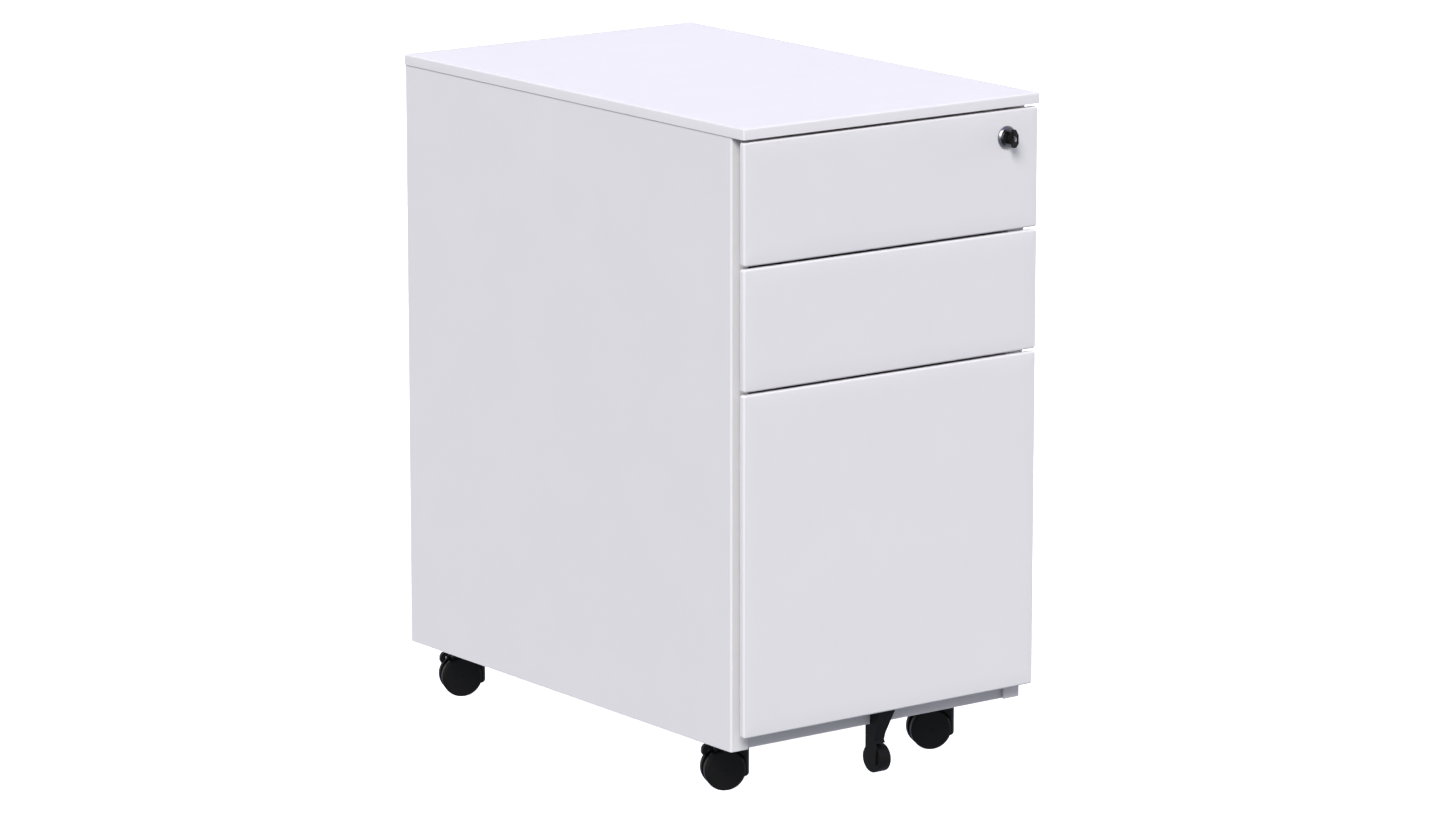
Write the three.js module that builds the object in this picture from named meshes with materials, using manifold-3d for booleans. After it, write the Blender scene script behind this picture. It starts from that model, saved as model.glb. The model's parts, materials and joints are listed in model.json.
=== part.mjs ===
// A slim mobile pedestal: a folded-steel cabinet with two stationery drawers and a filing drawer on
// ball-bearing slides, a front lock that works a lifting lock bar, twin-wheel castors and an anti-tilt wheel.
// Millimetres, +Z up, drawers open towards -Y. The origin is on the floor, under the middle of the bounding box.

import * as THREE from 'three';
import { mergeVertices } from 'three/addons/utils/BufferGeometryUtils.js';
import Module from 'manifold-3d';

// ---- driving dimensions ----
const WIDTH = 300;
const DEPTH = 474;
const HEIGHT = 553.5;
const TOP_THICKNESS = 9;
const SHEET = 1.2;
const BOX_SHEET = 1.0;
const GAP = 0.3;

const KEY_REACH = 13.75; // how far the key stands in front of the top panel
const CABINET_Y = (KEY_REACH - DEPTH) / 2; // the top panel's front edge

// cabinet shell, measured from the top panel's front edge (y = 0), the middle plane (x = 0) and the floor
const SIDE_OUT = WIDTH / 2 - 0.8;
const SIDE_IN = SIDE_OUT - SHEET;
const SIDE_TOP = HEIGHT - TOP_THICKNESS - GAP;
const SIDE_BOTTOM = 45.8;
const FLANGE_Y = 17.6;
const FLANGE_WIDTH = 17.3;
const BODY_BACK = DEPTH - 1.2;
const BACK_RETURN_Y = BODY_BACK - 2.9;
const RAIL_Y = FLANGE_Y + 3.6;
const FLOOR_PANEL_Z = 47.3;

// drawer fronts, from the top one down
const FRONT_Y = 0.9;
const FRONT_DEPTH = 6.5;
const FRONT_HALF = WIDTH / 2 - 1.0;
const FRONT_TOP = 542;
const FRONT_GAP = 2.25;
const FRONT_CORNER = 2.2;
const FRONT_LIP = 5;
const RIB_X = 100;
const RIB_WIDTH = 12;

// drawer boxes and their slides
const BOX_HALF = 121.5;
const BOX_Y = FRONT_Y + FRONT_DEPTH + GAP;
const BOX_BACK = 402;
const SLIDE_Y = 24.5;
const SLIDE_LENGTH = 400;
const INNER_LENGTH = 375;
const SLIDE_WEB_X = 132.6;
const SLIDE_HALF = 19.2;
const INNER_HALF = 14.7;
const INNER_OUT_X = 131.2;
const FOOT_YS = [60, 365];
const FOOT_LENGTH = 30;

const DRAWERS = [
  { name: 'top', frontHeight: 98.75, boxBottom: 452, boxTop: 520, slideZ: 470 },
  { name: 'middle', frontHeight: 98.75, boxBottom: 351, boxTop: 419, slideZ: 370 },
  { name: 'file', frontHeight: 279.8, boxBottom: 84, boxTop: 310, slideZ: 150 },
];

// lock
const LOCK_X = 115.8;
const LOCK_Z = 520;
const COLLAR_R = 9.7;
const BARREL_R = 8;
const PLUG_R = 5.9;
const CAM_Y = 19.8;
const CAM_REACH = 19.5;
const CAM_HALF = 5;
const TAIL = 5;
const FOLD_Y = -4.8; // axis that the key's grip folds about
const KNUCKLE_R = 1.4;
const BOW_HALF_HEIGHT = 7.5;
const BOW_THICKNESS = 1.8;
const BOW_START = -6.2;

// lock bar, behind the right front flange
const BAR_X = [137, 146];
const BAR_Y = [20.3, 22.3];
const BAR_Z = [95, 523];
const BAR_TAB_Z = 517.3;
const HOOK_ABOVE_SLIDE = 16;
const STUD_ABOVE_SLIDE = 24;
const HOOK_HEIGHT = 4;
const GUIDE_ZS = [112, 300, 440];

// castors
const CASTOR_X = 106.5;
const CASTOR_YS = { front: 65, rear: 440 };
const CASTOR_YAW = THREE.MathUtils.degToRad(-23.3);
const WHEEL_R = 17.3;
const TRAIL = 12.5;
const WHEEL_INNER = 3.2;
const WHEEL_OUTER = 10;
const HUB_R = 9;
const CASTOR_TOP = 44.3;
const HOOD_IN = 18.2;
const HOOD_OUT = 20.3;
const WEB_R = 14;
const WEB_HALF = 2.7;

// anti-tilt arm and wheel under the filing drawer
const ARM_X = [-4.6, 6.4];
const ARM_CHEEK = 1.4;
const TILT_WHEEL_X = [-2.9, 8.3];
const TILT_WHEEL_Y = 21.9;
const TILT_WHEEL_Z = 16.4;
const TILT_WHEEL_R = 11.8;
const TILT_ROOM_TOP = 29.8;
const NOTCH_X = [-5.1, 12.4];
const NOTCH_BACK = 36;

const wasm = await Module();
wasm.setup();

// ---- materials ----
const finish = (color, roughness, metalness) => new THREE.MeshStandardMaterial({ color, roughness, metalness });
const white = finish(0xe2e1e6, 0.45, 0.0);
const zinc = finish(0xb4b8bc, 0.35, 0.9);
const black = finish(0x1b1b1c, 0.5, 0.0);
const darkChrome = finish(0x4a4a4d, 0.25, 0.9);
const steel = finish(0x9a9da0, 0.3, 1.0);

// ---- solids ----
function solid(geometry) {
  const bare = geometry.clone();
  bare.deleteAttribute('normal');
  bare.deleteAttribute('uv');
  const merged = mergeVertices(bare, 1e-4);
  const vertProperties = new Float32Array(merged.attributes.position.array);
  const triVerts = new Uint32Array(merged.index.array);
  return new wasm.Manifold(new wasm.Mesh({ numProp: 3, vertProperties, triVerts }));
}

function block([x0, x1], [y0, y1], [z0, z1]) {
  const geometry = new THREE.BoxGeometry(x1 - x0, y1 - y0, z1 - z0);
  return solid(geometry.translate((x0 + x1) / 2, (y0 + y1) / 2, (z0 + z1) / 2));
}

const join = (...solids) => solids.reduce((whole, piece) => whole.add(piece));
const cut = (base, ...tools) => tools.reduce((rest, tool) => rest.subtract(tool), base);

// turns a shape made along +Y (lathe) or +Z (extrusion) so that it runs along another axis
const ALONG = {
  y: new THREE.Matrix4(),
  x: new THREE.Matrix4().makeRotationZ(-Math.PI / 2),
  z: new THREE.Matrix4().makeRotationX(Math.PI / 2),
};

// a solid of revolution: profile is [radius, position along the axis], from the axis back to the axis
function turned(profile, axis, segments = 24) {
  const points = profile.map(([r, t]) => new THREE.Vector2(r, t));
  return solid(new THREE.LatheGeometry(points, segments).applyMatrix4(ALONG[axis]));
}

const disc = (r, [t0, t1], axis, segments = 24) => turned([[0, t0], [r, t0], [r, t1], [0, t1]], axis, segments);

// an outline in the YZ plane, extruded along X
function prismX(shape, [x0, x1]) {
  const turn = new THREE.Matrix4().makeBasis(
    new THREE.Vector3(0, 1, 0), new THREE.Vector3(0, 0, 1), new THREE.Vector3(1, 0, 0));
  const geometry = new THREE.ExtrudeGeometry(shape, { depth: x1 - x0, bevelEnabled: false, curveSegments: 5 });
  return solid(geometry.applyMatrix4(turn).translate(x0, 0, 0));
}

// an outline in the XZ plane, extruded along Y
function prismY(shape, [y0, y1]) {
  const geometry = new THREE.ExtrudeGeometry(shape, { depth: y1 - y0, bevelEnabled: false, curveSegments: 5 });
  return solid(geometry.rotateX(Math.PI / 2).translate(0, y1, 0));
}

const polygon = (points) => new THREE.Shape(points.map(([a, b]) => new THREE.Vector2(a, b)));

function roundedRectangle([x0, x1], [z0, z1], r) {
  const shape = new THREE.Shape();
  shape.absarc(x1 - r, z0 + r, r, -Math.PI / 2, 0);
  shape.absarc(x1 - r, z1 - r, r, 0, Math.PI / 2);
  shape.absarc(x0 + r, z1 - r, r, Math.PI / 2, Math.PI);
  shape.absarc(x0 + r, z0 + r, r, Math.PI, 1.5 * Math.PI);
  return shape;
}

function addMesh(parent, name, material, body) {
  const { vertProperties, triVerts } = body.getMesh();
  const geometry = new THREE.BufferGeometry();
  geometry.setAttribute('position', new THREE.BufferAttribute(vertProperties, 3));
  geometry.setIndex(new THREE.BufferAttribute(triVerts, 1));
  geometry.computeVertexNormals();
  const mesh = new THREE.Mesh(geometry, material);
  mesh.name = name;
  parent.add(mesh);
}

const mirrored = (body, side) => (side < 0 ? body.mirror([1, 0, 0]) : body);
const SIDES = [{ name: 'left', sign: -1 }, { name: 'right', sign: 1 }];

// ---- cabinet shell ----
function topPanel() {
  const half = WIDTH / 2;
  const slab = block([-half, half], [0, DEPTH], [HEIGHT - TOP_THICKNESS, HEIGHT]);
  const inside = block([-half + SHEET, half - SHEET], [SHEET, DEPTH - SHEET],
    [HEIGHT - TOP_THICKNESS - 1, HEIGHT - SHEET]);
  return cut(slab, inside);
}

function sidePanel(withGuides) {
  const tall = [SIDE_BOTTOM, SIDE_TOP];
  const long = [FLANGE_Y, BACK_RETURN_Y + SHEET];
  const panel = join(
    block([SIDE_IN, SIDE_OUT], [FLANGE_Y, BODY_BACK], tall),
    block([SIDE_OUT - FLANGE_WIDTH, SIDE_OUT], [FLANGE_Y, FLANGE_Y + SHEET], tall),
    block([SIDE_IN - 14, SIDE_OUT], [BACK_RETURN_Y, BACK_RETURN_Y + SHEET], tall),
    block([SIDE_IN - 20, SIDE_OUT], long, [SIDE_TOP - SHEET, SIDE_TOP]),
    block([SIDE_IN - 10, SIDE_OUT], long, [SIDE_BOTTOM, SIDE_BOTTOM + SHEET]),
  );
  if (!withGuides) return panel;
  const guide = (z) => block([BAR_X[0] - 1, SIDE_OUT - 0.5], [BAR_Y[1] + 0.4, BAR_Y[1] + 1.6], [z - 6, z + 6]);
  return join(panel, ...GUIDE_ZS.map(guide));
}

function backPanel() {
  const x = SIDE_IN - GAP;
  const y = BACK_RETURN_Y + SHEET + GAP;
  return block([-x, x], [y, BODY_BACK], [SIDE_BOTTOM, SIDE_TOP]);
}

function bottomPanel() {
  const x = SIDE_IN - GAP;
  const y = [RAIL_Y + SHEET + GAP, BACK_RETURN_Y - GAP];
  const tray = join(
    block([-x, x], y, [FLOOR_PANEL_Z, FLOOR_PANEL_Z + SHEET]),
    ...SIDES.map(({ sign }) => mirrored(block([x - SHEET, x], y, [FLOOR_PANEL_Z, FLOOR_PANEL_Z + 12]), sign)),
  );
  const hole = disc(5.3, [FLOOR_PANEL_Z - 1, FLOOR_PANEL_Z + 3], 'z');
  const holes = SIDES.flatMap(({ sign }) =>
    Object.values(CASTOR_YS).map((cy) => hole.translate([sign * CASTOR_X, cy, 0])));
  const notch = block(NOTCH_X, [RAIL_Y, NOTCH_BACK], [40, 60]);
  return cut(tray, notch, ...holes);
}

function frontBottomRail() {
  const x = SIDE_IN - GAP;
  const face = block([-x, x], [RAIL_Y, RAIL_Y + SHEET], [SIDE_BOTTOM + 0.01, 76]);
  const foot = block([-x + 10.5, x - 10.5], [RAIL_Y, RAIL_Y + 14], [SIDE_BOTTOM + 0.01, SIDE_BOTTOM + SHEET]);
  const corners = SIDES.map(({ sign }) =>
    mirrored(block([SIDE_IN - 10.3, x + 1], [RAIL_Y - 1, RAIL_Y + 2], [40, SIDE_BOTTOM + SHEET + GAP]), sign));
  const notch = block(NOTCH_X, [RAIL_Y - 1, NOTCH_BACK], [40, 68]);
  return cut(join(face, foot), notch, ...corners);
}

function frontTopRail() {
  const x = SIDE_IN - GAP;
  const top = SIDE_TOP - SHEET - GAP;
  return join(
    block([-x, x], [RAIL_Y, RAIL_Y + SHEET], [top - 9.7, top]),
    block([-x, x], [RAIL_Y, RAIL_Y + 16], [top - SHEET, top]),
  );
}

// ---- slides ----
function outerSlide(z) {
  const y = [SLIDE_Y, SLIDE_Y + SLIDE_LENGTH];
  const web = [SLIDE_WEB_X, SLIDE_WEB_X + SHEET];
  const lip = SLIDE_WEB_X - 8.1;
  const rim = (sign) => {
    const [a, b] = [z + sign * (SLIDE_HALF - SHEET), z + sign * SLIDE_HALF].sort((p, q) => p - q);
    const [c, d] = [z + sign * (SLIDE_HALF - 4), z + sign * SLIDE_HALF].sort((p, q) => p - q);
    return join(block([lip, web[1]], y, [a, b]), block([lip, lip + SHEET], y, [c, d]));
  };
  const foot = (start) => {
    const plate = SIDE_IN - GAP;
    const tall = [z - 9, z + 9];
    return join(
      block([plate - SHEET, plate], [start, start + FOOT_LENGTH], tall),
      block([web[0], plate], [start, start + SHEET], tall),
      block([web[0], plate], [start + FOOT_LENGTH - SHEET, start + FOOT_LENGTH], tall),
    );
  };
  return join(block(web, y, [z - SLIDE_HALF, z + SLIDE_HALF]), rim(-1), rim(1), ...FOOT_YS.map(foot));
}

function innerSlide(z) {
  const y = [SLIDE_Y + 0.5, SLIDE_Y + 0.5 + INNER_LENGTH];
  const x0 = BOX_HALF + GAP;
  return join(
    block([x0, x0 + SHEET], y, [z - INNER_HALF, z + INNER_HALF]),
    block([x0, INNER_OUT_X], y, [z - INNER_HALF, z - INNER_HALF + SHEET]),
    block([x0, INNER_OUT_X], y, [z + INNER_HALF - SHEET, z + INNER_HALF]),
  );
}

// ---- drawers ----
function drawerFront(top, height) {
  const z = [top - height, top];
  const back = FRONT_Y + FRONT_DEPTH;
  const tray = prismY(roundedRectangle([-FRONT_HALF, FRONT_HALF], z, FRONT_CORNER), [FRONT_Y, back]);
  const inside = [-FRONT_HALF + SHEET, FRONT_HALF - SHEET];
  const mouth = [-FRONT_HALF + FRONT_LIP, FRONT_HALF - FRONT_LIP];
  const hollow = block(inside, [FRONT_Y + SHEET, back - SHEET], [z[0] + SHEET, z[1] - SHEET]);
  const opening = block(mouth, [back - SHEET - 1, back + 1], [z[0] + FRONT_LIP, z[1] - FRONT_LIP]);
  const ribs = SIDES.map(({ sign }) =>
    mirrored(block([RIB_X - RIB_WIDTH, RIB_X], [FRONT_Y + 0.5, back], [z[0] + 0.5, z[1] - 0.5]), sign));
  return join(cut(tray, hollow, opening), ...ribs);
}

function lockedFront(top, height) {
  const hole = disc(BARREL_R + GAP, [FRONT_Y - 1, FRONT_Y + 10], 'y').translate([LOCK_X, 0, LOCK_Z]);
  return cut(drawerFront(top, height), hole);
}

function drawerBox({ boxBottom, boxTop, slideZ }) {
  const outside = block([-BOX_HALF, BOX_HALF], [BOX_Y, BOX_BACK], [boxBottom, boxTop]);
  const inner = BOX_HALF - BOX_SHEET;
  const inside = block([-inner, inner], [BOX_Y + BOX_SHEET, BOX_BACK - BOX_SHEET],
    [boxBottom + BOX_SHEET, boxTop + 1]);
  const studZ = slideZ + STUD_ABOVE_SLIDE;
  const stud = block([BOX_HALF - 0.5, INNER_OUT_X], [SLIDE_Y, SLIDE_Y + 2.5], [studZ, studZ + HOOK_HEIGHT]);
  return join(cut(outside, inside), stud);
}

// the top box leaves its front right corner free for the lock barrel and its cam
function topDrawerBox(drawer) {
  const corner = block([LOCK_X - 12, BOX_HALF + 1], [BOX_Y - 1, 31], [LOCK_Z - CAM_REACH - 0.5, drawer.boxTop + 1]);
  return cut(drawerBox(drawer), corner);
}

function fileRail(y) {
  const { boxTop } = DRAWERS[2];
  const inner = BOX_HALF - BOX_SHEET - GAP;
  return join(
    block([-inner, inner], [y, y + 2], [boxTop - 12, boxTop + 1.5]),
    block([-BOX_HALF - 0.8, BOX_HALF + 0.8], [y, y + 2], [boxTop + GAP, boxTop + 1.5]),
  );
}

// ---- lock, made about its own axis ----
function lockBarrel() {
  return turned([[PLUG_R + 0.3, -1.3], [COLLAR_R - 1.6, -1.7], [COLLAR_R, -0.3], [COLLAR_R, FRONT_Y - GAP],
    [BARREL_R, FRONT_Y - GAP], [BARREL_R, 19], [PLUG_R + 0.3, 19], [PLUG_R + 0.3, -1.3]], 'y');
}

function lockPlug() {
  const plug = disc(PLUG_R, [-1.6, 19.2], 'y');
  const tail = block([-TAIL / 2, TAIL / 2], [19, 22.6], [-TAIL / 2, TAIL / 2]);
  const keyway = block([-1.3, 1.3], [-3, 16], [-3.8, 3.8]);
  return cut(join(plug, tail), keyway);
}

function lockCam() {
  const thick = [CAM_Y, CAM_Y + 2];
  const hub = disc(7, thick, 'y');
  const end = disc(CAM_HALF, thick, 'y').translate([0, 0, CAM_HALF - CAM_REACH]);
  const arm = block([-CAM_HALF, CAM_HALF], thick, [CAM_HALF - CAM_REACH, 0]);
  const hole = TAIL / 2 + GAP;
  return cut(join(hub, arm, end), block([-hole, hole], [CAM_Y - 1, CAM_Y + 3], [-hole, hole]));
}

function keyBlade() {
  return join(
    block([-1, 1], [-3, 15.5], [-3.5, 3.5]),
    block([-KNUCKLE_R, KNUCKLE_R], [-3.1, -2.1], [-5, 5]),
    block([-1.1, 1.1], [FOLD_Y, -3], [-2, 2]),
    disc(1.1, [-2, 2], 'z', 16).translate([0, FOLD_Y, 0]),
  );
}

function keyBow() {
  const h = BOW_HALF_HEIGHT;
  const half = BOW_THICKNESS / 2;
  const outline = polygon([[-KEY_REACH, -3.6], [-KEY_REACH + 3.4, -h], [BOW_START, -h], [FOLD_Y, -5],
    [FOLD_Y, 5], [BOW_START, h], [-KEY_REACH + 3.4, h], [-KEY_REACH, 3.6]]);
  const ring = new THREE.Path().absarc(3.5 - KEY_REACH, 0, 2.5, 0, 2 * Math.PI, true);
  outline.holes.push(ring);
  const knuckle = disc(KNUCKLE_R, [-5, 5], 'z', 16).translate([0, FOLD_Y, 0]);
  const fork = block([-2, 2], [BOW_START - 0.2, FOLD_Y + KNUCKLE_R + 1], [-2.4, 2.4]);
  return cut(join(prismX(outline, [-half, half]), knuckle), fork);
}

// ---- lock bar ----
function lockBar() {
  const hooks = DRAWERS.map(({ slideZ }) => {
    const z = slideZ + HOOK_ABOVE_SLIDE;
    return block([126, BAR_X[0] + 1], BAR_Y, [z, z + HOOK_HEIGHT]);
  });
  const tab = block([133, BAR_X[1]], BAR_Y, [BAR_TAB_Z, BAR_Z[1]]);
  return join(block(BAR_X, BAR_Y, BAR_Z), tab, ...hooks);
}

// ---- anti-tilt arm and wheel ----
function antiTiltArm() {
  const [x0, x1] = ARM_X;
  const side = polygon([[28, 12.5], [28, 66], [11, 66], [BOX_Y, 66], [BOX_Y, 60.5], [8.2, 60.5], [10.2, 54.3],
    [17.2, 32], [14.6, 28.5], [14.6, 12.3]]);
  const front = polygon([[x0, 10], [x1, 10], [x1, 38], [x1 + 5, 58], [x1 + 5, 70], [x0, 70]]);
  const arm = prismX(side, [x0, x1 + 5]).intersect(prismY(front, [0, 40]));
  const plate = block([-16, 22], [BOX_Y, BOX_Y + 3], [61.5, 81]);
  const wheelRoom = block([x0 + ARM_CHEEK, 20], [0, 40], [0, TILT_ROOM_TOP]);
  const hole = disc(2.3, [x0 - 1, 0], 'x').translate([0, TILT_WHEEL_Y, TILT_WHEEL_Z]);
  return cut(join(arm, plate), wheelRoom, hole);
}

function antiTiltWheel() {
  const [a, b] = TILT_WHEEL_X;
  const r = TILT_WHEEL_R;
  return turned([[2.3, a], [r - 0.5, a], [r, a + 0.5], [r, b - 0.5], [r - 0.5, b], [2.3, b], [2.3, a]], 'x');
}

const antiTiltAxle = () => disc(2, [ARM_X[0] + 0.1, TILT_WHEEL_X[1] - 0.4], 'x');

// ---- castor, with its swivel axis through x = y = 0 and the wheels trailing towards -X ----
function castorStem() {
  const nut = turned([[0, FLOOR_PANEL_Z + SHEET + GAP], [8.5, FLOOR_PANEL_Z + SHEET + GAP], [8.5, 54], [0, 54]],
    'z', 6);
  return join(
    turned([[0, 34.3], [3.4, 34.3], [4, 35], [4, 45], [0, 45]], 'z', 12),
    disc(HUB_R, [CASTOR_TOP + GAP, FLOOR_PANEL_Z - GAP], 'z'),
    disc(5, [45, 57], 'z', 12),
    nut,
  );
}

function castorHousing() {
  const atAxle = (body) => body.translate([-TRAIL, 0, WHEEL_R]);
  const hub = turned([[0, 10], [HUB_R - 2, 10], [HUB_R, 12], [HUB_R, CASTOR_TOP], [0, CASTOR_TOP]], 'z');
  const sector = new THREE.Shape();
  sector.moveTo(0, 0);
  sector.absarc(0, 0, HOOD_OUT, THREE.MathUtils.degToRad(35), THREE.MathUtils.degToRad(119));
  const hood = prismY(sector, [-9.8, 9.8]);
  const web = disc(WEB_R, [-WEB_HALF, WEB_HALF], 'y');
  const room = disc(HOOD_IN, [WEB_HALF, 12], 'y');
  const axleHole = disc(2.6, [-4, 4], 'y');
  const bore = disc(4.2, [34, 50], 'z', 12);
  const shell = join(hub, atAxle(hood), atAxle(web));
  return cut(shell, atAxle(room), atAxle(room.mirror([0, 1, 0])), atAxle(axleHole), bore);
}

const castorAxle = () => disc(2.5, [-8.4, 8.4], 'y');

function castorWheel(sign) {
  const bore = 2.7;
  const wheel = turned([[0, 8.8], [bore, 8.8], [bore, WHEEL_INNER], [WHEEL_R, WHEEL_INNER],
    [WHEEL_R, WHEEL_OUTER - 1.3], [WHEEL_R - 2.2, WHEEL_OUTER], [0, WHEEL_OUTER]], 'y');
  return sign < 0 ? wheel.mirror([0, 1, 0]) : wheel;
}

// the pedal's outline, about the wheel axle, lies on the treads at rest and lifts to let them roll
function brakePedal() {
  const outline = polygon([[-9.6, 20.6], [-10.2, 18.6], [-12.9, 17.4], [-13.6, 14.6], [-15.4, 12.2], [-17, 11.4],
    [-17.9, 13.6], [-17.7, 17.2], [-16.2, 19.6], [-13.6, 20.6]]);
  return prismY(outline, [-3.4, 3.4]);
}

// ---- assembly ----
const pedestal = new THREE.Group();
const cabinet = new THREE.Group();
cabinet.position.y = CABINET_Y;
pedestal.add(cabinet);

addMesh(cabinet, 'top_panel', white, topPanel());
for (const { name, sign } of SIDES) {
  addMesh(cabinet, `${name}_side_panel`, white, mirrored(sidePanel(sign > 0), sign));
}
addMesh(cabinet, 'back_panel', white, backPanel());
addMesh(cabinet, 'bottom_panel', white, bottomPanel());
addMesh(cabinet, 'front_bottom_rail', white, frontBottomRail());
addMesh(cabinet, 'front_top_rail', white, frontTopRail());
addMesh(cabinet, 'lock_bar', zinc, lockBar());

let frontTop = FRONT_TOP;
for (const drawer of DRAWERS) {
  const locks = drawer.name === 'top';
  const front = locks ? lockedFront : drawerFront;
  addMesh(cabinet, `${drawer.name}_drawer_front`, white, front(frontTop, drawer.frontHeight));
  addMesh(cabinet, `${drawer.name}_drawer_box`, white, locks ? topDrawerBox(drawer) : drawerBox(drawer));
  for (const { name, sign } of SIDES) {
    addMesh(cabinet, `${drawer.name}_slide_outer_${name}`, zinc, mirrored(outerSlide(drawer.slideZ), sign));
    addMesh(cabinet, `${drawer.name}_slide_inner_${name}`, zinc, mirrored(innerSlide(drawer.slideZ), sign));
  }
  frontTop -= drawer.frontHeight + FRONT_GAP;
}
addMesh(cabinet, 'file_rail_front', zinc, fileRail(26));
addMesh(cabinet, 'file_rail_rear', zinc, fileRail(356));

const lock = new THREE.Group();
lock.position.set(LOCK_X, 0, LOCK_Z);
cabinet.add(lock);
addMesh(lock, 'lock_barrel', darkChrome, lockBarrel());
addMesh(lock, 'lock_plug', darkChrome, lockPlug());
addMesh(lock, 'lock_cam', zinc, lockCam());
addMesh(lock, 'key_blade', black, keyBlade());
addMesh(lock, 'key_bow', black, keyBow());

addMesh(cabinet, 'anti_tilt_arm', black, antiTiltArm());
const tiltHub = new THREE.Group();
tiltHub.position.set(0, TILT_WHEEL_Y, TILT_WHEEL_Z);
cabinet.add(tiltHub);
addMesh(tiltHub, 'anti_tilt_wheel', black, antiTiltWheel());
addMesh(tiltHub, 'anti_tilt_axle', steel, antiTiltAxle());

for (const [end, y] of Object.entries(CASTOR_YS)) {
  for (const { name, sign } of SIDES) {
    const corner = `${end}_${name}`;
    const castor = new THREE.Group();
    castor.position.set(sign * CASTOR_X, y, 0);
    castor.rotation.z = CASTOR_YAW;
    cabinet.add(castor);
    addMesh(castor, `castor_stem_${corner}`, steel, castorStem());
    addMesh(castor, `castor_housing_${corner}`, black, castorHousing());
    const axle = new THREE.Group();
    axle.position.set(-TRAIL, 0, WHEEL_R);
    castor.add(axle);
    addMesh(axle, `castor_axle_${corner}`, steel, castorAxle());
    addMesh(axle, `castor_wheel_${corner}_inner`, black, castorWheel(1));
    addMesh(axle, `castor_wheel_${corner}_outer`, black, castorWheel(-1));
    addMesh(axle, `brake_pedal_${corner}`, black, brakePedal());
  }
}

export default pedestal;
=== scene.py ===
"""Looks of a slim steel pedestal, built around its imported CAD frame.

Folded sheet metal, moulded castors, the lock with its key and the anti-tilt wheel get finished meshes with
their real bends and edges; plainer pieces keep the CAD node's shape with its edges eased. Metres, in the
frame's own axes.
"""

import json
import math

import bmesh
import bpy
from mathutils import Matrix, Vector

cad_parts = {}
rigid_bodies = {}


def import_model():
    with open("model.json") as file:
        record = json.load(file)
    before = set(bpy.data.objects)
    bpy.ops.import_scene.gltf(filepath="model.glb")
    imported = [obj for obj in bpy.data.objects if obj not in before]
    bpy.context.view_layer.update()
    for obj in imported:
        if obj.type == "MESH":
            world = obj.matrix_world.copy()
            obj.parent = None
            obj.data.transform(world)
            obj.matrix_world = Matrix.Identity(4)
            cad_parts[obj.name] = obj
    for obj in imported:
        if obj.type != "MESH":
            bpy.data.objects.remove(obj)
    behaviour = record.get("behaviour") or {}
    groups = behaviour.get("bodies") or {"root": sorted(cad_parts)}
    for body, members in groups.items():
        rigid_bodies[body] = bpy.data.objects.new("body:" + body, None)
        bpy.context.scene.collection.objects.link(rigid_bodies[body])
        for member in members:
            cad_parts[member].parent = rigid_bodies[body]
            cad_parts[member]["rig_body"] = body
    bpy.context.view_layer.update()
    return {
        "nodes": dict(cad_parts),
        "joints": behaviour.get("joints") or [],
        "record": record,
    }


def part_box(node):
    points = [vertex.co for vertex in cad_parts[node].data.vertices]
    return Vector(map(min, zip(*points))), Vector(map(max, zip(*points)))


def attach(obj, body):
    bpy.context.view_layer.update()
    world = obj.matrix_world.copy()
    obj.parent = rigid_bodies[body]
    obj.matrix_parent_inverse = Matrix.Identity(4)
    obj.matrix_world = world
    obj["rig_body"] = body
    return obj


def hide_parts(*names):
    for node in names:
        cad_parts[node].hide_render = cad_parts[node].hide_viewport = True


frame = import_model()

MM = 0.001
SIDES = {"left": -1, "right": 1}
DRAWERS = ("top", "middle", "file")
CORNERS = [f"{end}_{side}" for end in ("front", "rear") for side in SIDES]

# camera and light
CAMERA_AT = (-3.1018, -4.1452, 1.3829)
CAMERA_HEADING = 36.82  # degrees from +Y towards +X
CAMERA_DIP = 12.1135  # degrees below level
CAMERA_LENS = 158.56
DOME_ABOVE = (0.345, 0.362, 0.575)
DOME_LEVEL = (0.472, 0.459, 0.440)
DOME_BELOW = (0.225, 0.255, 0.325)
LAMPS = {  # degrees to the right of the front, degrees above level, strength, width in degrees
    "key": (-44, 37, 3.0, 26),
    "right": (92, 12, 1.9, 28),
    "back": (176, 12, 1.9, 28),
}
GLINT = (-44, 32, 2.6, 56)  # a wide lamp that shows only in the lock's polished faces
DOME_STOPS = (0.35, 0.52, 0.9)  # heights of the three tones, from straight down at 0 to straight up at 1
LAMP_TONE = (1.0, 0.985, 0.98)
FLOOR_HALF = 40

# sheet metal
SHEET = 1.2 * MM
BOX_SHEET = 1.0 * MM
BEND = 1.7 * MM
SLAB_BEND = 1.5 * MM
FRONT_CORNER = 2.2 * MM
FRONT_LIP = 5 * MM
FLANGE_WIDTH = 17.3 * MM
BACK_PANEL_DEPTH = 1.4 * MM
BACK_RETURN = 14 * MM
TOP_RETURN = 20 * MM
BOTTOM_RETURN = 10 * MM
RIB_OUT = 100 * MM
RIB_WIDTH = 12 * MM
FACE_INSET = 14 * MM
BOX_BEND = 2.2 * MM
BOX_CORNER = 2.4 * MM
RIM_HEIGHT = 6 * MM
RIM_DEPTH = 2.2 * MM
STUD_ABOVE_SLIDE = 24 * MM
STUD_HEIGHT = 4 * MM
BAR_WIDTH = 9 * MM
BAR_GUIDES = (112 * MM, 300 * MM, 440 * MM)
GUIDE_HALF = 6 * MM
GUIDE_OVERHANG = 1 * MM
GUIDE_CLEARANCE = 0.4 * MM
GUIDE_THICKNESS = 1.2 * MM
SIDE_EDGE = 0.4 * MM
BACK_GAP = 0.3 * MM
STUD_LENGTH = 2.5 * MM
STUD_AHEAD = 0.5 * MM
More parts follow.
